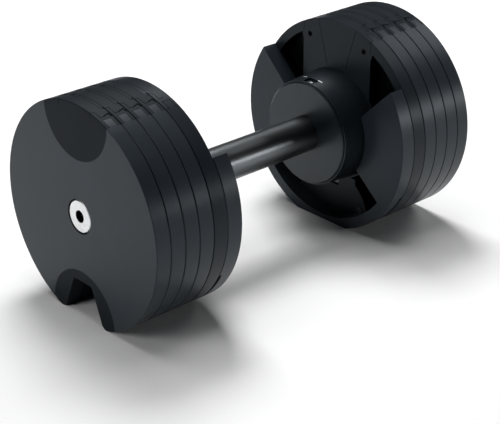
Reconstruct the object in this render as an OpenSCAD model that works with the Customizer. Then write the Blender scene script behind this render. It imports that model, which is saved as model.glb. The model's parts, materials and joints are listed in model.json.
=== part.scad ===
// Adjustable dumbbell with a twist handle. Turning the handle draws a locking rod in or out of each head,
// so that more or fewer plates hang on it. X runs along the handle and Z points up from the floor.

/* [Plates] */
// Diameter of every plate
plate_d = 170; // [140:1:210]
// Distance from one plate's face to the next plate's same face
plate_pitch = 12.65; // [10:0.05:16]
// Gap left between two plates
plate_gap = 0.3; // [0.2:0.05:0.6]
// Height of the flat foot cut off the bottom of a plate
foot_cut = 4.8; // [3:0.1:8]
// Chamfer on a plate's rim
rim_chamfer = 0.5; // [0.3:0.1:1]
// Radial gap between a rod and the hole in a plate
rod_hole_gap = 0.9; // [0.4:0.1:1.5]

/* [Inserts] */
// Radius of the round inserts at the top and bottom of a plate
insert_r = 35.4; // [30:0.1:40]
// Radius of the narrower web that joins an insert's two flanges
insert_web_r = 28; // [24:0.1:29]
// Thickness of each flange of an insert
insert_flange = 2.9; // [2:0.1:4]
// Distance from the rim in to the centre of an insert
insert_inset = 6; // [4:0.1:10]
// Gap all round an insert
insert_gap = 0.15; // [0.05:0.05:0.4]
// Half width of the interlocking tongue at the rim
tongue_half_top = 17.7; // [14:0.1:20]
// Half width of the interlocking tongue at its lower end
tongue_half_low = 8.5; // [6:0.1:12]
// Distance from the lower edge of an insert up to the end of its tongue
tongue_foot = 5.4; // [4:0.1:10]
// How far the tongue stands out of a plate
tongue_out = 2.7; // [2:0.1:4]
// How far the tongue's head overhangs its neck on each side
tongue_lip = 1.5; // [1:0.1:2.5]
// Gap round the tongue in its pocket
tongue_gap = 0.3; // [0.2:0.05:0.5]

/* [Tray channel] */
// Height of the channel under each head, from the foot up
channel_h = 27.9; // [20:0.1:32]
// Half width of the channel at its top
channel_half_top = 10.2; // [8:0.1:14]
// Half width of the channel at the foot
channel_half_low = 20.4; // [15:0.1:24]

/* [Heads] */
// Length of the grip between the two dials
grip_len = 123.6; // [110:0.1:160]
// Length of a hub, from the dial's face to the wings
hub_len = 20; // [18:0.1:26]
// Thickness of the wings
wing_t = 13.3; // [11:0.1:18]
// Width of the ring that joins the wings under the hub
ring_w = 9; // [7:0.1:12]
// Angle from the top at which a wing begins on the rim
wing_top_deg = 55; // [45:1:65]
// Angle from the top at which a wing begins beside the hub
wing_hub_deg = 60.5; // [55:0.5:70]
// Angle from the top at which a wing ends
wing_low_deg = 127; // [115:1:135]
// Depth of the hollows in the carrier
hollow_depth = 10; // [6:0.5:11]
// Radius of the columns that stand between the hollows
column_r = 40; // [38:0.1:44]

/* [Hub] */
// Radius of a hub cover at the dial
hub_r_front = 42.6; // [38:0.1:48]
// Radius of a hub cover at the carrier
hub_r_back = 45; // [40:0.1:50]
// Wall of a hub cover
hub_wall = 2.1; // [1.6:0.1:4]
// Thickness of the dial's front disc
dial_t = 4.4; // [3:0.1:6]
// Length of the dial's numbered drum behind the front disc
drum_len = 6.4; // [5:0.1:9]
// Length of the window along the handle
window_len = 7; // [5:0.1:7.5]
// Half width of the window
window_half = 5.4; // [4:0.1:7]

/* [Handle and rods] */
// Outer diameter of the handle tube
tube_d = 28.8; // [27:0.1:34]
// Diameter of a locking rod
rod_d = 24.4; // [22:0.1:25]
// Radial gap between a rod and the handle tube
rod_tube_gap = 0.4; // [0.3:0.05:0.8]
// Radial running gap between a rod and its bushes
rod_fit = 0.06; // [0.02:0.01:0.1]
// Distance that the end of a rod stays below the outer face
rod_recess = 0.65; // [0.4:0.05:1.5]
// Gap between the two rods at mid-handle when they are drawn in
rod_mid_gap = 6; // [3:0.5:12]
// Diameter of the drive pins
pin_d = 5; // [4:0.1:6]
// Depth of the helical groove in a rod
groove_depth = 3.6; // [2.5:0.1:4.5]
// Angle that the handle turns from one setting to the next
step_deg = 72; // [60:1:72]
// Width across the flats of the socket in a rod's end
socket_af = 8; // [5:0.5:10]

/* [Lock and detent] */
// Travel of a lock plate
lock_travel = 4; // [3:0.1:4.5]
// Thickness of a lock plate
lock_t = 2.6; // [2:0.1:3.5]
// Radius of a detent ball
ball_r = 3; // [2:0.1:4]
// Depth to which a detent ball drops into a dimple
ball_drop = 1; // [0.5:0.1:1.5]

/* [Hidden] */
$fn = 64;
plate_count = 4;
past = 1;                                    // how far a cut runs past what it cuts

// Places along the right half of the handle, measured from mid-handle
plate_r = plate_d / 2;
dial_x = grip_len / 2;
drum_x = dial_x + dial_t;
drum_end_x = drum_x + drum_len;
cover_x = dial_x + 1.6;                      // front edge of the hub cover, round the dial
window_edge = 0.8;
wing_x = dial_x + hub_len;
carrier_x = wing_x + wing_t;
plates_x = carrier_x + plate_pitch;
outer_x = plates_x + plate_count * plate_pitch;
travel = plate_count * plate_pitch;
turn_deg = plate_count * step_deg;

// Heights and radii
foot_z = foot_cut - plate_r;
axis_h = -foot_z;
insert_z = plate_r - insert_inset;
channel_top_z = foot_z + channel_h;
ring_r = plate_r - ring_w;
hollow_r = ring_r + 1.5;
column_half = column_r - 3.7;
hub_gap = 0.5;
dial_gap = 0.4;
dial_r = hub_r_front - 0.9 - dial_gap;
tube_r = tube_d / 2;
rod_r = rod_d / 2;
bore_r = rod_r + rod_tube_gap;

// Hub core: thrust washer, bearing, ball, retaining ring and guide bush, one behind the other on the tube
core_r = hub_r_front - hub_wall;
boss_r = tube_r + 5.6;
washer_t = 1;
washer_x = drum_end_x + 0.3;
block_x = washer_x + washer_t;
bearing_len = 5;
bearing_wall = 3.1;
fit_gap = 0.05;
ball_x = block_x + bearing_len + ball_r + 1;
ball_bore_top = core_r - 3.5;
ring_seat_x = ball_x + ball_r + 1;
clip_x = ring_seat_x + 0.4;
clip_t = 1.2;
clip_r = tube_r + 2.6;
clip_groove = 1;
tube_end_x = clip_x + clip_t + 1.2;
seat_r = tube_r + 3.8;
bush_x = tube_end_x + 0.6;
bush_end_x = carrier_x + 1.2;
key_half = 1.7;
key_depth = 2.6;
key_gap = 0.3;

// Lock plate in its slot, between the keyed bush and the plain one
lock_x = bush_end_x + 0.4;
lock_gap = 0.25;
outer_bush_x = lock_x + lock_t + 0.6;
outer_bush_end_x = plates_x - plate_gap;
outer_bush_wall = 3;
tooth_half = 5;
tooth_gap = 0.5;
notch_depth = lock_travel - tooth_gap + 0.4;
lock_half = rod_r + 6.5;
lock_low_z = -rod_r - lock_travel - 5;       // lower edge of the window's frame
tooth_top_z = rod_r + tooth_gap + 3;
lock_top_z = tooth_top_z + 4;
foot_half = 6;
lock_spring_room = 16;
lock_spring_r = 1.6;
lock_spring_wire = 0.7;

// Rods, drawn out as far as they go
rod_out_x = outer_x - rod_recess;
rod_in_x = rod_mid_gap / 2 + travel;
pin_x = drum_x + drum_len / 2;
pin_deg = 36;
groove_gap = 0.4;

function polar(r, a) = [r * sin(a), r * cos(a)];
function plate_at(i) = plates_x + (i - 1) * plate_pitch;

// Frame helpers: a flat outline in Y and Z pushed along X, and an outline in radius and X spun round it
module slab(x0, x1) { translate([x0, 0, 0]) rotate([90, 0, 90]) linear_extrude(x1 - x0) children(); }
module spun(points) { rotate([0, 90, 0]) rotate_extrude() polygon(points); }
module pipe(x0, x1, r0, r1) { spun([[r0, x0], [r1, x0], [r1, x1], [r0, x1]]); }
module rod_shape(x0, x1, r) { translate([x0, 0, 0]) rotate([0, 90, 0]) cylinder(h = x1 - x0, r = r); }
module right_side() { translate([0, 0, axis_h]) children(); }
module left_side() { translate([0, 0, axis_h]) mirror([1, 0, 0]) children(); }

// A disc on the handle's axis with chamfered rims, a centre hole and the flat foot
module head_disc(x0, x1, hole_r) {
    c = rim_chamfer;
    difference() {
        spun([[hole_r, x0], [plate_r - c, x0], [plate_r, x0 + c], [plate_r, x1 - c], [plate_r - c, x1],
            [hole_r, x1]]);
        translate([x0 - past, -plate_r, -2 * plate_r])
            cube([x1 - x0 + 2 * past, plate_d, 2 * plate_r + foot_z]);
    }
}

// A round insert: two flanges and the web between them, grown by a gap and run on past both faces
module insert_shape(x0, x1, z, grow = 0, beyond = 0) {
    slab(x0 - beyond, x0 + insert_flange + grow) translate([0, z]) circle(insert_r + grow);
    slab(x1 - insert_flange - grow, x1 + beyond) translate([0, z]) circle(insert_r + grow);
    slab(x0 - beyond, x1 + beyond) translate([0, z]) circle(insert_web_r + grow);
}

// Fan-shaped outline of the tongue, wide at the rim and narrow below
module fan(grow) {
    low = insert_z - insert_r + tongue_foot - grow;
    polygon([[-tongue_half_low - grow, low], [tongue_half_low + grow, low],
        [tongue_half_top + grow, plate_r + past], [-tongue_half_top - grow, plate_r + past]]);
}

// The T-shaped tongue that stands out of the face at x, grown by a gap
module tongue(x, grow) {
    neck = tongue_out / 2;
    slab(x - grow, x + neck + 0.01) fan(grow - tongue_lip);
    slab(x + neck - grow, x + tongue_out + grow) fan(grow);
}

// Channel that the tray's rail runs in
module channel(x0, x1, grow = 0) {
    low = channel_half_low + grow;
    top = channel_half_top + grow;
    bevel = 1.2;
    slab(x0, x1) polygon([[-low - 4, foot_z - past], [-low, foot_z + 2], [-top, channel_top_z - bevel],
        [bevel - top, channel_top_z + grow], [top - bevel, channel_top_z + grow], [top, channel_top_z - bevel],
        [low, foot_z + 2], [low + 4, foot_z - past]]);
}

// Plates and inserts, numbered outwards from the carrier

module weight_plate(i) {
    x0 = plate_at(i);
    x1 = x0 + plate_pitch - plate_gap;
    difference() {
        head_disc(x0, x1, rod_r + rod_hole_gap);
        for (z = [-insert_z, insert_z]) insert_shape(x0, x1, z, insert_gap, past);
    }
}

// Thin lines and the open chevron that show on the rim where two neighbours hook together
module hook_lines(x0, x1, chevron) {
    line = 0.4;
    depth_z = sqrt(plate_r * plate_r - insert_web_r * insert_web_r) - 1;
    bump = 2.9;
    shelf = insert_web_r - 3.1;
    for (side = [-1, 1])
        translate([0, 0, depth_z]) linear_extrude(plate_r) scale([1, side]) {
            translate([x1 - bump - line / 2, tongue_half_top])
                square([line, shelf - tongue_half_top + line / 2]);
            translate([x1 - bump, tongue_half_top - line / 2]) square([bump + past, line]);
            translate([x0 + 2 * bump, shelf - line / 2]) square([x1 - x0 - 3 * bump, line]);
        }
    if (chevron)
        for (side = [-1, 1])
            translate([0, 0, depth_z - 3]) linear_extrude(plate_r) scale([1, side])
                polygon([[x0 + 6.5, shelf - 0.5], [x0 + 1.2, shelf - 2.3], [x0 + 0.3, shelf + 1.6],
                    [x0 + 1.3, shelf + 2], [x0 + 2, shelf - 1.1], [x0 + 6.5, shelf + 0.4]]);
}

module top_insert(i) {
    x0 = plate_at(i);
    x1 = x0 + plate_pitch - plate_gap;
    color("#26292d") {
        difference() {
            intersection() {
                head_disc(x0, x1, rod_r);
                insert_shape(x0, x1, insert_z);
            }
            tongue(x0 - plate_gap, tongue_gap);
            hook_lines(x0, x1, true);
        }
        if (i < plate_count)
            intersection() {
                head_disc(x1 - past, x1 + tongue_out + past, rod_r);
                tongue(x1, 0);
            }
    }
}

module foot_insert(i) {
    x0 = plate_at(i);
    x1 = x0 + plate_pitch - plate_gap;
    bevel = 1.6;
    color("#26292d")
        difference() {
            intersection() {
                head_disc(x0, x1, rod_r);
                insert_shape(x0, x1, -insert_z);
            }
            channel(x0 - past, x1 + past);
            channel(x0 - past, x0 + bevel / 2, bevel / 2);
            channel(x1 - bevel / 2, x1 + past, bevel / 2);
        }
}

// Hole that a drive pin is pressed into, through the dial's boss and the tube
module pin_hole() {
    rotate([pin_deg, 0, 0]) translate([pin_x, 0, 0]) rotate([-90, 0, 0]) cylinder(h = boss_r + past, d = pin_d);
}

module plate_colour() { color("#3c4044") children(); }

// Handle tube with its pin holes, ring grooves and ball dimples

module handle_tube() {
    color("#4b5054")
        translate([0, 0, axis_h]) difference() {
            pipe(-tube_end_x, tube_end_x, bore_r, tube_r);
            for (end = [0, 1]) mirror([end, 0, 0]) {
                pin_hole();
                pipe(clip_x, clip_x + clip_t, tube_r - clip_groove, tube_r + past);
                for (k = [0 : plate_count])
                    rotate([k * step_deg, 0, 0]) translate([ball_x, 0, tube_r + ball_r - ball_drop])
                        sphere(ball_r + fit_gap);
            }
        }
}

// Drive pin: pressed through the dial's boss and the tube, its inner end rides in the rod's groove

module drive_pin() {
    tip = rod_r - groove_depth + 0.5;
    color("#b4b8bc")
        rotate([pin_deg, 0, 0]) translate([pin_x, tip, 0]) rotate([-90, 0, 0])
            cylinder(h = boss_r - 1.4 - tip, d = pin_d);
}

// Rod, drawn in the place it has when it is out

function groove_axis(t) = [pin_x - rod_in_x + travel * t, pin_deg + turn_deg * t];
function groove_wide(r) = (pin_d / 2 + groove_gap) * sqrt(1 + pow(travel / (turn_deg * PI / 180) / r, 2));
function groove_ring(t) =
    let (a = groove_axis(t), low = rod_r - groove_depth, top = rod_r + past,
         wl = groove_wide(low), wt = groove_wide(top))
    [for (p = [[-wl, low], [wl, low], [wt, top], [-wt, top]])
        [a[0] + p[0], p[1] * cos(a[1]), p[1] * sin(a[1])]];

module helical_groove() {
    steps = 54;
    over = 20 / turn_deg;                    // the groove runs past both ends of the pin's path
    rings = [for (k = [0 : steps]) groove_ring((1 + 2 * over) * k / steps - over)];
    points = [for (ring = rings) for (p = ring) p];
    skin = [for (k = [0 : steps - 1]) for (j = [0 : 3])
        let (a = 4 * k + j, b = 4 * k + (j + 1) % 4) each [[a, a + 4, b], [b, a + 4, b + 4]]];
    last = 4 * steps;
    polyhedron(points, concat([[0, 1, 2], [0, 2, 3]], skin,
        [[last, last + 2, last + 1], [last, last + 3, last + 2]]));
}

module rod() {
    len = rod_out_x - rod_in_x;
    bevel = 0.6;
    keyway_start = bush_x - rod_in_x - 1.5;
    keyway_end = bush_end_x - rod_in_x + travel + 1.5;
    notch_x = lock_x + lock_t / 2 - rod_in_x;
    socket_r = socket_af / 2 / cos(30);
    color("#d9dcde")
        translate([rod_in_x, 0, 0]) difference() {
            spun([[0, 0], [rod_r - bevel, 0], [rod_r, bevel], [rod_r, len - bevel], [rod_r - bevel, len],
                [0, len]]);
            helical_groove();
            translate([keyway_start, rod_r - key_depth - key_gap, -key_half - key_gap])
                cube([keyway_end - keyway_start, rod_r, 2 * (key_half + key_gap)]);
            for (k = [0 : plate_count])
                translate([notch_x + k * plate_pitch - lock_t / 2 - lock_gap, -rod_r, rod_r - notch_depth])
                    cube([lock_t + 2 * lock_gap, rod_d, rod_r]);
            translate([len - socket_af, 0, 0]) rotate([0, 90, 0])
                cylinder(h = socket_af + past, r = socket_r, $fn = 6);
        }
}

// Dial: front disc with the numbered drum on its rim, turning with the handle

module dial() {
    drum_wall = 2.8;
    bevel = 0.8;
    color("#1d2023")
        difference() {
            union() {
                spun([[tube_r + fit_gap, dial_x], [dial_r - bevel, dial_x], [dial_r, dial_x + bevel],
                    [dial_r, drum_end_x], [dial_r - drum_wall, drum_end_x], [dial_r - drum_wall, drum_x],
                    [tube_r + fit_gap, drum_x]]);
                pipe(drum_x - past, drum_end_x, tube_r + fit_gap, boss_r);
            }
            pin_hole();
        }
}

module hub_cover() {
    step_x = drum_end_x + 0.2;
    front_r = dial_r + dial_gap;
    bevel = 0.4;
    color("#23262a")
        difference() {
            spun([[front_r, cover_x], [hub_r_front - bevel, cover_x], [hub_r_front, cover_x + bevel],
                [hub_r_back, carrier_x], [core_r + fit_gap, carrier_x], [core_r + fit_gap, step_x],
                [front_r, step_x]]);
            translate([cover_x + window_edge, -window_half, 0])
                cube([window_len, 2 * window_half, hub_r_back + past]);
        }
}

// Hub core: a block that carries the tube's bearing, the ball and the keyed bush

module bearing_block() {
    color("#55595c")
        difference() {
            rod_shape(block_x, carrier_x, core_r);
            rod_shape(block_x - past, block_x + bearing_len, tube_r + bearing_wall + 2 * fit_gap);
            rod_shape(block_x - past, carrier_x + past, tube_r + 0.4);
            rod_shape(ring_seat_x, carrier_x + past, seat_r);
            translate([ball_x, 0, 0]) cylinder(h = ball_bore_top, r = ball_r + 0.15);
            for (a = block_screw_degs) screw_hole(polar(block_screw_r, a), block_screw_x, block_x - past);
        }
}

module tube_bearing() {
    color("#b08d57")
        pipe(block_x + fit_gap, block_x + bearing_len, tube_r + fit_gap, tube_r + bearing_wall + fit_gap);
}

module thrust_washer() { color("#c9c2a8") pipe(washer_x, washer_x + washer_t - fit_gap, tube_r + 0.2, boss_r); }

// Snap ring in the tube's groove, open at one side
module retaining_ring() {
    color("#8a8d90")
        difference() {
            pipe(clip_x + fit_gap, clip_x + clip_t - fit_gap, tube_r - clip_groove + fit_gap, clip_r);
            translate([clip_x - past, 0, -2]) cube([clip_t + 2 * past, clip_r + past, 4]);
        }
}

module guide_bush() {
    color("#b08d57") {
        difference() {
            pipe(bush_x, bush_end_x, rod_r + rod_fit, seat_r - fit_gap);
            translate([bush_x - past, 0, -key_half])
                cube([bush_end_x - bush_x + 2 * past, rod_r + 2, 2 * key_half]);
        }
        translate([bush_x, rod_r - key_depth, -key_half])
            cube([bush_end_x - bush_x, key_depth + 2, 2 * key_half]);
    }
}

module outer_bush() {
    color("#b08d57")
        pipe(outer_bush_x, outer_bush_end_x, rod_r + rod_fit, rod_r + outer_bush_wall);
}

// Detent: ball and spring above the tube

module detent_ball() {
    color("#c8cccf") translate([ball_x, 0, tube_r + ball_r + fit_gap]) sphere(ball_r);
}

module coil(wire, r, turns, z0, z1) {
    sides = 8;
    per_turn = 14;
    steps = turns * per_turn;
    rise = z1 - z0 - wire;
    points = [for (k = [0 : steps]) for (j = [0 : sides - 1])
        let (a = 360 * k / per_turn, b = 360 * j / sides, rr = r + wire / 2 * cos(b))
        [rr * cos(a), rr * sin(a), z0 + wire / 2 + rise * k / steps + wire / 2 * sin(b)]];
    skin = [for (k = [0 : steps - 1]) for (j = [0 : sides - 1])
        [sides * k + j, sides * k + (j + 1) % sides, sides * (k + 1) + (j + 1) % sides, sides * (k + 1) + j]];
    polyhedron(points, concat([[for (j = [sides - 1 : -1 : 0]) j]], skin,
        [[for (j = [0 : sides - 1]) sides * steps + j]]));
}

module detent_spring() {
    wire = 0.6;
    z0 = tube_r + 2 * ball_r + 2 * fit_gap;
    color("#a9adb0") translate([ball_x, 0, 0]) coil(wire, ball_r - wire, 6, z0, ball_bore_top);
}

// Lock plate: a window plate round the rod, with a tooth above the rod and a foot in the tray channel

module lock_plate() {
    window_low = lock_low_z + 4;
    tooth_z = rod_r + tooth_gap;
    color("#9b9fa2")
        slab(lock_x, lock_x + lock_t) difference() {
            union() {
                translate([-lock_half, lock_low_z]) square([2 * lock_half, lock_top_z - lock_low_z]);
                translate([-foot_half, channel_top_z]) square([2 * foot_half, window_low - channel_top_z]);
            }
            difference() {
                translate([-rod_r - 1, window_low]) square([rod_d + 2, tooth_top_z - window_low]);
                translate([-tooth_half, tooth_z]) square([2 * tooth_half, tooth_top_z - tooth_z + past]);
            }
        }
}

module lock_spring() {
    color("#a9adb0")
        translate([lock_x + lock_t / 2, 0, 0])
            coil(lock_spring_wire, lock_spring_r, 7, lock_top_z + fit_gap, lock_top_z + lock_spring_room);
}

// Slot for the lock plate and its spring, open towards the hub
module lock_slot() {
    low = lock_low_z - lock_travel - 0.5;
    x1 = lock_x + lock_t + lock_gap;
    half = lock_half + lock_gap;
    translate([carrier_x - past, -half, low]) cube([x1 - carrier_x + past, 2 * half, lock_top_z - low + 0.3]);
    translate([carrier_x - past, -foot_half - lock_gap, channel_top_z - past])
        cube([x1 - carrier_x + past, 2 * (foot_half + lock_gap), low - channel_top_z + 2 * past]);
    translate([lock_x + lock_t / 2, 0, lock_top_z - past])
        cylinder(h = lock_spring_room + past, r = lock_spring_r + lock_spring_wire);
}

// Outlines, in Y and Z, of the openings between and under the wings

module top_opening() {
    rim = polar(plate_r, wing_top_deg);
    hub = polar(hub_r_back + 9, wing_hub_deg);
    out = rim + (rim - hub);
    inn = hub - 0.6 * (rim - hub);
    polygon([inn, hub, rim, out, [out[0], 2 * plate_r], [-out[0], 2 * plate_r], [-out[0], out[1]],
        [-rim[0], rim[1]], [-hub[0], hub[1]], [-inn[0], inn[1]]]);
}

module low_opening(r) {
    edge = polar(2 * plate_r, wing_low_deg + 2);
    hub = polar(hub_r_back, wing_low_deg - 3);
    intersection() {
        circle(r);
        polygon([[0, 0], hub, edge, [0, -3 * plate_r], [-edge[0], edge[1]], [-hub[0], hub[1]]]);
    }
}

// The hollows on both sides of the top column and of the bottom one
module hollow_outline() {
    difference() {
        union() {
            intersection() { circle(hollow_r); top_opening(); }
            low_opening(ring_r);
        }
        circle(hub_r_back + 1.2);
        for (z = [-insert_z, insert_z]) translate([0, z]) circle(column_r);
        translate([-column_half, 0]) square([2 * column_half, plate_r]);
        translate([-channel_half_low - 4, -plate_r]) square([2 * channel_half_low + 8, plate_r / 2]);
    }
}

// Screws: two sunk deep in the top column, two near the face of the bottom one, four in the hub core
screw_y = 29.2;
screw_z = plate_r - 17.5;
screw_head_r = 2.2;
screw_head_t = 2;
screw_r = 1.5;
screw_len = 8;
top_screw_x = carrier_x + 1.9;
low_screw_x = carrier_x + 0.3;
block_screw_x = carrier_x - 5.2;
block_screw_r = core_r - 8;
block_screw_degs = [45 : 90 : 315];

// Stepped hole for a screw whose head lies at x and is reached from x_from
module screw_hole(at, x, x_from) {
    translate([0, at[0], at[1]]) {
        rod_shape(x_from, x + screw_head_t, screw_head_r + 0.1);
        rod_shape(x, x + screw_head_t + screw_len + 0.5, screw_r + 0.05);
    }
}

module screw(at, x) {
    translate([0, at[0], at[1]]) difference() {
        union() {
            rod_shape(x, x + screw_head_t, screw_head_r);
            rod_shape(x, x + screw_head_t + screw_len, screw_r);
        }
        translate([x - past, 0, 0]) rotate([0, 90, 0]) cylinder(h = past + 1.2, r = 1.3, $fn = 6);
    }
}

module screws() {
    color("#8f9396") {
        for (y = [-screw_y, screw_y]) {
            screw([y, screw_z], top_screw_x);
            screw([y, -screw_z], low_screw_x);
        }
        for (a = block_screw_degs) screw(polar(block_screw_r, a), block_screw_x);
    }
}

// Carrier: the fixed innermost disc that everything in a head is built on

module carrier() {
    x1 = plates_x - plate_gap;
    line = 0.4;
    color("#2b2e32") {
        difference() {
            head_disc(carrier_x, x1, rod_r + outer_bush_wall + fit_gap);
            slab(carrier_x - past, carrier_x + hollow_depth) hollow_outline();
            rod_shape(carrier_x - past, bush_end_x + fit_gap, seat_r);
            lock_slot();
            channel(lock_x - lock_gap, x1 + past);
            for (y = [-screw_y, screw_y]) {
                screw_hole([y, screw_z], top_screw_x, carrier_x - past);
                screw_hole([y, -screw_z], low_screw_x, carrier_x - past);
            }
            for (a = block_screw_degs) screw_hole(polar(block_screw_r, a), block_screw_x, block_screw_x);
            hook_lines(carrier_x, x1, false);
            carrier_lines(line);
            for (side = [-1, 1]) finger_lines(side, x1, line);
        }
        intersection() {
            head_disc(x1 - past, x1 + tongue_out + past, rod_r);
            tongue(x1, 0);
        }
    }
}

// Fine grooves in the carrier's inner face: the fan on the top column and the column's straight sides
module carrier_lines(line) {
    low = [10, plate_r - 37];
    top = [21.6, plate_r + past];
    lean = atan((top[0] - low[0]) / (top[1] - low[1]));
    for (side = [-1, 1]) {
        slab(carrier_x - past, carrier_x + 0.8) translate([side * low[0], low[1]]) rotate(-side * lean)
            translate([-line / 2, 0]) square([line, norm(top - low)]);
        slab(carrier_x - past, carrier_x + 0.6)
            translate([side * column_half - line / 2, hollow_r - 10]) square([line, plate_r]);
    }
}

// Outline of the half hook at the carrier's inner face and of the hook at its outer face
module finger_lines(side, x1, line) {
    half = sqrt(insert_r * insert_r - pow(insert_inset - 4, 2));
    x0 = carrier_x + insert_flange;
    x2 = x1 - insert_flange - line;
    translate([0, 0, insert_z - 4]) linear_extrude(plate_r) scale([1, side]) {
        for (x = [x0, x2]) translate([x, insert_web_r]) square([line, half - insert_web_r + line]);
        translate([carrier_x - past, half]) square([insert_flange + line + past, line]);
        translate([x2, half]) square([insert_flange + line + past, line]);
        translate([x0, insert_web_r]) square([x2 - x0 + line, line]);
    }
}

// Wings: one cast horseshoe round the hub, two thick wings joined by a ring under it

module wing_weight() {
    slit = 2.6;
    slit_depth = 5;
    slit_top_deg = 118;
    color("#33363a")
        difference() {
            head_disc(wing_x, carrier_x - 0.05, hub_r_back + hub_gap);
            slab(wing_x - past, carrier_x + past) {
                top_opening();
                low_opening(ring_r);
            }
            // a slit along the rim that widens the seam beside the carrier, low down
            slab(carrier_x - slit, carrier_x + past) difference() {
                circle(plate_r + past);
                circle(plate_r - slit_depth);
                translate([-plate_d, plate_r * cos(slit_top_deg)]) square(2 * plate_d);
            }
        }
}

handle_tube();
left_side() rod();  // left_rod
left_side() drive_pin();  // left_drive_pin
left_side() dial();  // left_dial
left_side() thrust_washer();  // left_thrust_washer
left_side() tube_bearing();  // left_tube_bearing
left_side() retaining_ring();  // left_retaining_ring
left_side() bearing_block();  // left_bearing_block
left_side() hub_cover();  // left_hub_cover
left_side() guide_bush();  // left_guide_bush
left_side() outer_bush();  // left_outer_bush
left_side() detent_ball();  // left_detent_ball
left_side() detent_spring();  // left_detent_spring
left_side() lock_plate();  // left_lock_plate
left_side() lock_spring();  // left_lock_spring
left_side() carrier();  // left_carrier
left_side() wing_weight();  // left_wing_weight
left_side() screws();  // left_screws
for (i = [1 : plate_count]) {
    left_side() plate_colour() weight_plate(i);
    left_side() top_insert(i);
    left_side() foot_insert(i);
}
right_side() rod();  // right_rod
right_side() drive_pin();  // right_drive_pin
right_side() dial();  // right_dial
right_side() thrust_washer();  // right_thrust_washer
right_side() tube_bearing();  // right_tube_bearing
right_side() retaining_ring();  // right_retaining_ring
right_side() bearing_block();  // right_bearing_block
right_side() hub_cover();  // right_hub_cover
right_side() guide_bush();  // right_guide_bush
right_side() outer_bush();  // right_outer_bush
right_side() detent_ball();  // right_detent_ball
right_side() detent_spring();  // right_detent_spring
right_side() lock_plate();  // right_lock_plate
right_side() lock_spring();  // right_lock_spring
right_side() carrier();  // right_carrier
right_side() wing_weight();  // right_wing_weight
right_side() screws();  // right_screws
for (i = [1 : plate_count]) {
    right_side() plate_colour() weight_plate(i);
    right_side() top_insert(i);
    right_side() foot_insert(i);
}
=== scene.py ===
import bpy
import json
import math
from mathutils import Matrix, Vector


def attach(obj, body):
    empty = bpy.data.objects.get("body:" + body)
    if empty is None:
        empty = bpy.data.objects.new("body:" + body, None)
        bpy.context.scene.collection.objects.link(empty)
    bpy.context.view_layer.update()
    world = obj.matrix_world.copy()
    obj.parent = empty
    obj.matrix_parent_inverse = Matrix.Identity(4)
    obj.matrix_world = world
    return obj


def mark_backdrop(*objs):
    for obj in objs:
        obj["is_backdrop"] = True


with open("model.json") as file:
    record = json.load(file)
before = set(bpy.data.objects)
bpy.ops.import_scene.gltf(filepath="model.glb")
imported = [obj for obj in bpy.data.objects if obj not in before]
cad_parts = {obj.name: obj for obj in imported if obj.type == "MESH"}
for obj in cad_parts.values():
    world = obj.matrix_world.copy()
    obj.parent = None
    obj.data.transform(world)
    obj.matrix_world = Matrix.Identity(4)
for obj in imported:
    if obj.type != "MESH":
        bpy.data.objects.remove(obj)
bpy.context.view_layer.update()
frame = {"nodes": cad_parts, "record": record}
bpy.ops.object.select_all(action="DESELECT")
print("frame loaded,", len(frame["nodes"]), "pieces")

axisHeight = 0.0802      # height of the handle's axis over the floor
sides = {"left": -1, "right": 1}


# --- building blocks for the finishes ---

def newFinish(name, metallic=0.0, roughness=0.5, gloss=0.5, glossTint=(1, 1, 1)):
    finish = bpy.data.materials.new(name)
    finish.use_nodes = True
    shader = finish.node_tree.nodes["Principled BSDF"]
    shader.inputs["Metallic"].default_value = metallic
    shader.inputs["Roughness"].default_value = roughness
    shader.inputs["Specular IOR Level"].default_value = gloss
    shader.inputs["Specular Tint"].default_value = (*glossTint, 1)
    return finish, finish.node_tree, shader


def addNode(tree, kind, at=(0, 0)):
    node = tree.nodes.new(kind)
    node.location = at
    return node


def math2(tree, operation, a, b=None):
    node = addNode(tree, "ShaderNodeMath")
    node.operation = operation
    for socket, value in zip(node.inputs, (a, b)):
        if value is None:
            continue
        if isinstance(value, (int, float)):
            socket.default_value = value
        else:
            tree.links.new(value, socket)
    return node.outputs[0]


def place(tree):
    return addNode(tree, "ShaderNodeTexCoord", (-1400, 0)).outputs["Object"]


def grain(tree, where, size, detail=2.0, roughness=0.5, lumps=0.0):
    noise = addNode(tree, "ShaderNodeTexNoise", (-1000, 0))
    noise.inputs["Scale"].default_value = 1 / size
    noise.inputs["Detail"].default_value = detail
    noise.inputs["Roughness"].default_value = roughness
    noise.inputs["Distortion"].default_value = lumps
    tree.links.new(where, noise.inputs["Vector"])
    return noise.outputs["Fac"]


def blendColours(tree, factor, low, high, start=0.3, stop=0.7):
    ramp = addNode(tree, "ShaderNodeValToRGB", (-500, 200))
    ramp.color_ramp.elements[0].position = start
    ramp.color_ramp.elements[0].color = (*low, 1)
    ramp.color_ramp.elements[1].position = stop
    ramp.color_ramp.elements[1].color = (*high, 1)
    tree.links.new(factor, ramp.inputs["Fac"])
    return ramp.outputs["Color"]


def spread(tree, factor, low, high, start=0.3, stop=0.7):
    remap = addNode(tree, "ShaderNodeMapRange", (-500, -100))
    for socket, value in (("From Min", start), ("From Max", stop), ("To Min", low), ("To Max", high)):
        remap.inputs[socket].default_value = value
    tree.links.new(factor, remap.inputs["Value"])
    return remap.outputs["Result"]


def relief(tree, height, depth):
    bump = addNode(tree, "ShaderNodeBump", (-250, -300))
    bump.inputs["Strength"].default_value = 1
    bump.inputs["Distance"].default_value = depth
    tree.links.new(height, bump.inputs["Height"])
    return bump.outputs["Normal"]


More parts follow.
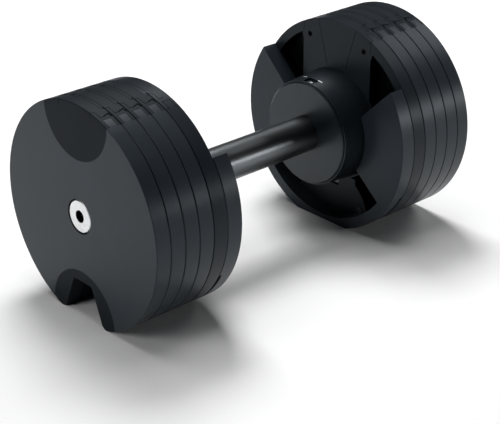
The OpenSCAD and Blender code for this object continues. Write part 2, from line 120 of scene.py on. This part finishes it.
def aroundHandle(tree):      # distance along the handle, angle round it and distance from its axis
    split = addNode(tree, "ShaderNodeSeparateXYZ", (-1200, 0))
    tree.links.new(place(tree), split.inputs[0])
    along, across, up = split.outputs
    up = math2(tree, "SUBTRACT", up, axisHeight)
    angle = math2(tree, "ARCTAN2", up, across)
    away = math2(tree, "SQRT", math2(tree, "ADD", math2(tree, "MULTIPLY", across, across),
                                     math2(tree, "MULTIPLY", up, up)))
    return along, angle, away


# --- finishes ---

coatLook = {"dark": (0.0175, 0.0228, 0.0285), "light": (0.0220, 0.0285, 0.0360), "cloudSize": 0.045,
            "grainSize": 0.0011, "grainDepth": 0.00005, "rough": (0.28, 0.36), "speckSize": 0.0004,
            "speckShare": 0.4, "gloss": 0.22, "glossTint": (0.84, 0.93, 1.0)}
# painted shade for the hollows: the depth along the handle where it starts, the distance from the axis it
# reaches, and the near-black colour painted there
hollowShadeLook = {"from": 0.0958, "within": 0.0785, "black": (0.0012, 0.0013, 0.0014)}


def shadeHollows(tree, colour, look):      # painted shade: the walls and floors of the hollows are painted near black, standing in for the shade that falls in them
    along, angle, away = aroundHandle(tree)
    sunk = math2(tree, "GREATER_THAN", math2(tree, "ABSOLUTE", along), look["from"])
    deep = math2(tree, "MULTIPLY", sunk, math2(tree, "LESS_THAN", away, look["within"]))
    mix = addNode(tree, "ShaderNodeMix", (-200, 200))
    mix.data_type = "RGBA"
    mix.inputs[7].default_value = (*look["black"], 1)
    tree.links.new(colour, mix.inputs[6])
    tree.links.new(deep, mix.inputs[0])
    return mix.outputs[2]


def powderCoat(name, look, hollowShade=None):      # satin coat: slow clouds of tone, fine orange peel, and painted shade in the hollows when that look is given
    finish, tree, shader = newFinish(name, gloss=look["gloss"], glossTint=look["glossTint"])
    where = place(tree)
    cloud = grain(tree, where, look["cloudSize"], 4, 0.55, 0.4)
    peel = grain(tree, where, look["grainSize"], 3, 0.6)
    speck = grain(tree, where, look["speckSize"], 1)
    colour = blendColours(tree, cloud, look["dark"], look["light"])
    # painted shade: the hollows get a near-black colour in place of the shade that falls in them
    if hollowShade is not None:
        colour = shadeHollows(tree, colour, hollowShade)
    tree.links.new(colour, shader.inputs["Base Color"])
    patches = math2(tree, "MULTIPLY", cloud, 1 - look["speckShare"])
    sheen = math2(tree, "ADD", patches, math2(tree, "MULTIPLY", speck, look["speckShare"]))
    tree.links.new(spread(tree, sheen, *look["rough"]), shader.inputs["Roughness"])
    tree.links.new(relief(tree, peel, look["grainDepth"]), shader.inputs["Normal"])
    return finish


plasticLook = {"dark": (0.0070, 0.0100, 0.0125), "light": (0.0095, 0.0130, 0.0165), "cloudSize": 0.03,
               "grainSize": 0.0006, "grainDepth": 0.00003, "rough": (0.46, 0.56),
               "pitShare": 0.5, "gloss": 0.08, "glossTint": (0.84, 0.93, 1.0)}


def mouldedPlastic(name, look):      # spark-eroded mould texture
    finish, tree, shader = newFinish(name, gloss=look["gloss"], glossTint=look["glossTint"])
    where = place(tree)
    cloud = grain(tree, where, look["cloudSize"], 3, 0.5)
    pits = addNode(tree, "ShaderNodeTexVoronoi", (-1000, -300))
    pits.inputs["Scale"].default_value = 1 / look["grainSize"]
    tree.links.new(where, pits.inputs["Vector"])
    fine = grain(tree, where, look["grainSize"] * 0.6, 2)
    height = math2(tree, "ADD", math2(tree, "MULTIPLY", pits.outputs["Distance"], look["pitShare"]), fine)
    tree.links.new(blendColours(tree, cloud, look["dark"], look["light"]), shader.inputs["Base Color"])
    tree.links.new(spread(tree, fine, *look["rough"]), shader.inputs["Roughness"])
    tree.links.new(relief(tree, height, look["grainDepth"]), shader.inputs["Normal"])
    return finish


gripLook = {"dark": (0.135, 0.145, 0.153), "light": (0.180, 0.192, 0.202), "radius": 0.0144, "rows": 96,
            "keepPositive": 500, "knurlDepth": 0.000022, "wornSize": 0.04, "rough": (0.28, 0.32)}


def knurledGrip(name, look):      # two sets of fine crossing grooves, black oxide worn a little on the tips
    finish, tree, shader = newFinish(name, metallic=1.0)
    along, angle, away = aroundHandle(tree)
    pitch = 2 * math.pi * look["radius"] / look["rows"]
    rows = math2(tree, "MULTIPLY", angle, look["rows"] / (2 * math.pi))
    steps = math2(tree, "DIVIDE", along, pitch)
    one = math2(tree, "ADD", math2(tree, "ADD", rows, steps), look["keepPositive"])
    two = math2(tree, "ADD", math2(tree, "SUBTRACT", rows, steps), look["keepPositive"])
    one = math2(tree, "PINGPONG", one, 0.5)
    two = math2(tree, "PINGPONG", two, 0.5)
    tips = math2(tree, "MULTIPLY", math2(tree, "MINIMUM", one, two), 2)
    worn = grain(tree, place(tree), look["wornSize"], 2)
    tone = math2(tree, "ADD", math2(tree, "MULTIPLY", tips, 0.5), math2(tree, "MULTIPLY", worn, 0.5))
    colour = blendColours(tree, tone, look["dark"], look["light"], 0.2, 0.8)
    tree.links.new(colour, shader.inputs["Base Color"])
    tree.links.new(spread(tree, worn, *look["rough"]), shader.inputs["Roughness"])
    tree.links.new(relief(tree, tips, look["knurlDepth"]), shader.inputs["Normal"])
    return finish


# the near-black socket colour within the socket radius is painted shade for the hole in the rod's end
steelLook = {"dark": (0.66, 0.67, 0.68), "light": (0.84, 0.85, 0.86), "ringPitch": 0.0003,
             "ringDepth": 0.000012, "rough": (0.28, 0.40), "socketShade": (0.008, 0.008, 0.009),
             "socketRadius": 0.0047, "cloudSize": 0.004, "ringTone": 0.08}


def turnedSteel(name, look):      # bright bar with the fine rings that a lathe leaves on its ends
    finish, tree, shader = newFinish(name, metallic=1.0)
    along, angle, away = aroundHandle(tree)
    rings = math2(tree, "SINE", math2(tree, "MULTIPLY", math2(tree, "ADD", away, along),
                                      2 * math.pi / look["ringPitch"]))
    cloud = grain(tree, place(tree), look["cloudSize"], 3)
    tone = math2(tree, "ADD", math2(tree, "MULTIPLY", rings, look["ringTone"]), cloud)
    socket = addNode(tree, "ShaderNodeMix", (-200, 200))      # painted shade: the socket in the end and a ring round it are painted near black, standing in for the shade inside the hole
    socket.data_type = "RGBA"
    socket.inputs[6].default_value = (*look["socketShade"], 1)
    tree.links.new(blendColours(tree, tone, look["dark"], look["light"]), socket.inputs[7])
    tree.links.new(math2(tree, "GREATER_THAN", away, look["socketRadius"]), socket.inputs[0])
    tree.links.new(socket.outputs[2], shader.inputs["Base Color"])
    tree.links.new(spread(tree, cloud, *look["rough"]), shader.inputs["Roughness"])
    tree.links.new(relief(tree, rings, look["ringDepth"]), shader.inputs["Normal"])
    return finish


metalLook = {"cloudSize": 0.012, "roughSpread": 0.05}


def plainMetal(name, dark, light, rough, metallic=1.0, grainSize=0.0008, depth=0.00003):
    finish, tree, shader = newFinish(name, metallic=metallic)
    where = place(tree)
    fine = grain(tree, where, grainSize, 3, 0.6)
    cloud = grain(tree, where, metalLook["cloudSize"], 3)
    tree.links.new(blendColours(tree, cloud, dark, light), shader.inputs["Base Color"])
    smooth, coarse = rough - metalLook["roughSpread"], rough + metalLook["roughSpread"]
    tree.links.new(spread(tree, fine, smooth, coarse), shader.inputs["Roughness"])
    tree.links.new(relief(tree, fine, depth), shader.inputs["Normal"])
    return finish


inkLook = {"colour": (0.85, 0.85, 0.84), "thinShare": 0.88, "patchSize": 0.0009, "rough": (0.39, 0.51),
           "depth": 0.00002}


def paintedMark(name, look):      # pad-printed ink, a little uneven
    finish, tree, shader = newFinish(name)
    where = place(tree)
    patchy = grain(tree, where, look["patchSize"], 4, 0.7)
    thin = tuple(tone * look["thinShare"] for tone in look["colour"])
    tree.links.new(blendColours(tree, patchy, thin, look["colour"]), shader.inputs["Base Color"])
    tree.links.new(spread(tree, patchy, *look["rough"]), shader.inputs["Roughness"])
    tree.links.new(relief(tree, patchy, look["depth"]), shader.inputs["Normal"])
    return finish


carrierLook = dict(coatLook, grainSize=0.0007, grainDepth=0.00003, gloss=0.14,
                   dark=(0.0115, 0.0150, 0.0190), light=(0.0150, 0.0195, 0.0245))
hubLook = dict(plasticLook, gloss=0.42, rough=(0.26, 0.34))
finishes = {
    "coated_iron": powderCoat("satinCoat", coatLook),
    "insert_plastic": mouldedPlastic("insertPlastic", plasticLook),
    # the carrier's finish carries painted shade in its hollows
    "carrier_plastic": powderCoat("carrierPlastic", carrierLook, hollowShadeLook),
    "hub_plastic": mouldedPlastic("hubPlastic", hubLook),
    "handle_steel": knurledGrip("knurledGrip", gripLook),
    "bright_steel": turnedSteel("turnedSteel", steelLook),
    "hardened_steel": plainMetal("groundSteel", (0.52, 0.53, 0.55), (0.62, 0.63, 0.65), 0.25),
    "spring_steel": plainMetal("drawnWire", (0.40, 0.41, 0.43), (0.5, 0.51, 0.53), 0.35),
    "zinc_steel": plainMetal("zincPlate", (0.075, 0.078, 0.082), (0.11, 0.114, 0.12), 0.42),
    "block_iron": plainMetal("machinedIron", (0.13, 0.135, 0.14), (0.2, 0.21, 0.22), 0.5, 0.9,
                             grainSize=0.0012, depth=0.00006),
    "bronze": plainMetal("bearingBronze", (0.48, 0.34, 0.18), (0.62, 0.46, 0.26), 0.4),
    "acetal": plainMetal("acetalPlastic", (0.72, 0.70, 0.62), (0.78, 0.76, 0.68), 0.45, 0.0),
}
ink = paintedMark("whiteInk", inkLook)
for row in frame["record"]["subparts"]:
    piece = frame["nodes"].get(row["node"])
    if piece is None:
        continue
    for holder in piece.material_slots:
        holder.material = finishes[row["material_slot"]]
print("finishes on", len(frame["nodes"]), "pieces")


# --- numbers on the dials and marks on the hub covers ---

numberLook = {"values": ("20", "16", "12", "8", "4"), "step": 72, "size": 0.0033, "thick": 0.0001,
              "x": 0.0673, "radius": 0.04131}
coverMarks = {"x": 0.0715, "radius": 0.04322, "dashFrom": 11.0, "dashTo": 17.3, "dashWidth": 0.0009,
              "dashSeed": 0.0002, "dashSteps": 8, "dots": ((0.0724, -16.6), (0.0724, -13.8)),
              "dotSize": 0.0014, "thick": 0.0001}
sameSpot = 0.000005      # points closer than this are one point


def roundAxis(turned):      # turned in degrees round the handle's axis
    return Matrix.Translation((0, 0, axisHeight)) @ Matrix.Rotation(math.radians(turned), 4, "X")


def onHub(side, turned, x, radius):      # Z points out of the surface, Y away from mid-handle
    facing = Matrix.Rotation(math.pi / 2 * -side, 4, "Z")
    return roundAxis(turned) @ Matrix.Translation((side * x, 0, radius)) @ facing


def settle(obj, where):
    obj.matrix_world = where
    bpy.ops.object.select_all(action="DESELECT")
    obj.select_set(True)
    bpy.context.view_layer.objects.active = obj
    bpy.ops.object.transform_apply(location=True, rotation=True, scale=True)


def joinAs(name, parts, body, finish):
    bpy.ops.object.select_all(action="DESELECT")
    for part in parts:
        part.select_set(True)
    bpy.context.view_layer.objects.active = parts[0]
    if len(parts) > 1:
        bpy.ops.object.join()
    piece = bpy.context.object
    piece.name = name
    piece.data.materials.clear()
    piece.data.materials.append(finish)
    bpy.ops.object.mode_set(mode="EDIT")
    bpy.ops.mesh.select_all(action="SELECT")
    bpy.ops.mesh.remove_doubles(threshold=sameSpot)
    bpy.ops.mesh.normals_make_consistent(inside=False)
    bpy.ops.object.mode_set(mode="OBJECT")
    bpy.ops.object.transform_apply(location=True, rotation=True, scale=True)
    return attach(piece, body)


def dialNumbers(sideName, side, look):
    parts = []
    for k, value in enumerate(look["values"]):
        bpy.ops.object.select_all(action="DESELECT")
        bpy.ops.object.text_add()
        text = bpy.context.object
        text.data.body = value
        text.data.size = look["size"]
        text.data.extrude = look["thick"] / 2
        text.data.align_x = "CENTER"
        text.data.align_y = "CENTER"
        bpy.ops.object.convert(target="MESH")
        settle(bpy.context.object, onHub(side, -look["step"] * k, look["x"], look["radius"]))
        parts.append(bpy.context.object)
    return joinAs(f"{sideName}_dial_numbers", parts, "handle", ink)


def hubMarks(sideName, side, look):
    parts = []
    bpy.ops.object.select_all(action="DESELECT")
    bpy.ops.mesh.primitive_cube_add(size=1)      # the dash: a thin bar spun round the handle's axis
    dash = bpy.context.object
    dash.scale = (look["dashWidth"], look["dashSeed"], look["thick"])
    dash.location = (side * look["x"], 0, look["radius"])
    bpy.ops.object.transform_apply(location=True, rotation=True, scale=True)
    bpy.ops.object.mode_set(mode="EDIT")
    bpy.ops.mesh.select_all(action="DESELECT")
    bpy.ops.object.mode_set(mode="OBJECT")
    for face in dash.data.polygons:
        face.select = face.normal.y * side < -0.9
    bpy.ops.object.mode_set(mode="EDIT")
    bpy.ops.mesh.select_mode(type="FACE")
    swept = math.radians(look["dashTo"] - look["dashFrom"])
    bpy.ops.mesh.spin(steps=look["dashSteps"], angle=swept * side, center=(0, 0, 0), axis=(1, 0, 0))
    bpy.ops.object.mode_set(mode="OBJECT")
    settle(dash, roundAxis(look["dashFrom"] * side))
    parts.append(dash)
    for x, turned in look["dots"]:
        bpy.ops.object.select_all(action="DESELECT")
        bpy.ops.mesh.primitive_cylinder_add(vertices=24, radius=look["dotSize"] / 2, depth=look["thick"])
        settle(bpy.context.object, onHub(side, turned * side, x, look["radius"] + look["thick"] / 2))
        parts.append(bpy.context.object)
    return joinAs(f"{sideName}_cover_marks", parts, "heads", ink)


for sideName, side in sides.items():
    dialNumbers(sideName, side, numberLook)
    hubMarks(sideName, side, coverMarks)
print("numbers and marks made")


# --- floor, light and camera ---

floorLook = {"size": 12.0, "tone": 0.95}


def layFloor(look):
    bpy.ops.mesh.primitive_plane_add(size=look["size"], location=(0, 0, 0))
    floor = bpy.context.object
    floor.name = "studioFloor"
    finish, tree, shader = newFinish("paleFloor", roughness=0.8)
    tone = look["tone"]
    patch = grain(tree, place(tree), 0.6, 2)
    tree.links.new(blendColours(tree, patch, (tone * 0.99,) * 3, (tone,) * 3), shader.inputs["Base Color"])
    floor.data.materials.append(finish)
    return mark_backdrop(floor)


layFloor(floorLook)


def aimAt(obj, target):
    obj.rotation_euler = (Vector(target) - obj.location).to_track_quat("-Z", "Y").to_euler()


softBoxes = {
    "keyBox": {"at": (0.5, 0.87, 1.78), "size": (0.8, 0.8), "power": 33},
    "leftBox": {"at": (-1.72, 0.30, 1.0), "size": (0.9, 0.9), "power": 9.5},
    "fillBox": {"at": (1.56, -1.62, 0.34), "size": (0.9, 0.26), "power": 8},
    "rightBox": {"at": (1.73, 0.0, 1.05), "size": (0.9, 0.9), "power": 9.5},
    "topBox": {"at": (0.0, 0.0, 2.05), "size": (0.9, 0.9), "power": 8.5},
    "backBox": {"at": (-0.5, 0.87, 1.78), "size": (0.9, 0.9), "power": 4},
}
lampAim = (0, 0, 0.08)
for name, box in softBoxes.items():
    lamp = bpy.data.lights.new(name, "AREA")
    lamp.shape = "RECTANGLE"
    lamp.size, lamp.size_y = box["size"]
    lamp.energy = box["power"]
    lampObject = bpy.data.objects.new(name, lamp)
    bpy.context.scene.collection.objects.link(lampObject)
    lampObject.location = box["at"]
    aimAt(lampObject, lampAim)

roomLook = {"colour": (1, 1, 1, 1), "strength": 0.008}
room = bpy.data.worlds.new("studioRoom")
bpy.context.scene.world = room
room.use_nodes = True
room.node_tree.nodes["Background"].inputs["Color"].default_value = roomLook["colour"]
room.node_tree.nodes["Background"].inputs["Strength"].default_value = roomLook["strength"]

cameraLook = {"azimuth": -42.51, "elevation": 23.82, "distance": 1.146, "focal": 108.5, "sensor": 36,
              "shift": (0.0063, -0.1144), "nearest": 0.01}
turn, tilt = math.radians(cameraLook["azimuth"]), math.radians(cameraLook["elevation"])
back = Vector((math.sin(turn) * math.cos(tilt), -math.cos(turn) * math.cos(tilt), math.sin(tilt)))
lens = bpy.data.cameras.new("camera")
lens.lens = cameraLook["focal"]
lens.sensor_width = cameraLook["sensor"]
lens.shift_x, lens.shift_y = cameraLook["shift"]
lens.clip_start = cameraLook["nearest"]
cameraObject = bpy.data.objects.new("camera", lens)
bpy.context.scene.collection.objects.link(cameraObject)
cameraObject.location = Vector((0, 0, axisHeight)) + back * cameraLook["distance"]
aimAt(cameraObject, (0, 0, axisHeight))
bpy.context.scene.camera = cameraObject
bpy.context.scene.view_settings.view_transform = "Standard"
print("camera and lights set")
